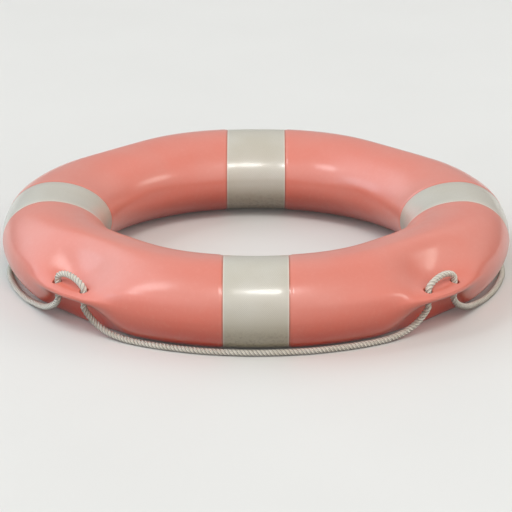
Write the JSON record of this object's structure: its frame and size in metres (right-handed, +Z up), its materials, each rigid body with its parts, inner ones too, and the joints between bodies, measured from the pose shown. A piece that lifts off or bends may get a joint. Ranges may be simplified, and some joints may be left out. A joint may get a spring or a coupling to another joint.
{
  "type": "life ring",
  "caption": "Ring-shaped rescue float with a moulded shell, foam filling, reflective bands and a grab line roved through holed fins round its outside.",
  "frame": {"origin": "centre of the ring on the plane it lies on", "axes": "+Z up along the ring's own axis; -Y towards the front band; +X towards the right band as seen from the front"},
  "size_m": [0.7496, 0.7496, 0.123],
  "materials": {
    "coral_polyethylene": "glossy moulded skin",
    "foam": "rigid foam",
    "reflective_film": "retroreflective film",
    "white_line": "three-strand laid line",
    "shrink_sleeve": "shrunk tube"
  },
  "bodies": {
    "ring": {"outer_shell": "coral_polyethylene", "foam_core": "foam", "fill_plug": "coral_polyethylene", "band_front": "reflective_film", "band_right": "reflective_film", "band_back": "reflective_film", "band_left": "reflective_film", "rope_bight_front_right": "white_line", "rope_bight_back_right": "white_line", "rope_bight_back_left": "white_line", "rope_bight_front_left": "white_line"},
    "line_front": {"grab_line_front": "white_line"},
    "line_right": {"grab_line_right": "white_line"},
    "line_back": {"grab_line_back": "white_line", "splice_sleeve": "shrink_sleeve"},
    "line_left": {"grab_line_left": "white_line"}
  },
  "joints": [
    {"name": "line_front_lift", "type": "hinge", "parent": "ring", "child": "line_front", "pos_m": [0, -0.27735, 0.04715], "axis": [-1, 0, 0], "range_deg": [0, 4]},
    {"name": "line_right_lift", "type": "hinge", "parent": "ring", "child": "line_right", "pos_m": [0.27735, 0, 0.04715], "axis": [0, -1, 0], "range_deg": [0, 16]},
    {"name": "line_back_lift", "type": "hinge", "parent": "ring", "child": "line_back", "pos_m": [0, 0.27735, 0.04715], "axis": [1, 0, 0], "range_deg": [0, 14]},
    {"name": "line_left_lift", "type": "hinge", "parent": "ring", "child": "line_left", "pos_m": [-0.27735, 0, 0.04715], "axis": [0, 1, 0], "range_deg": [0, 16]}
  ]
}
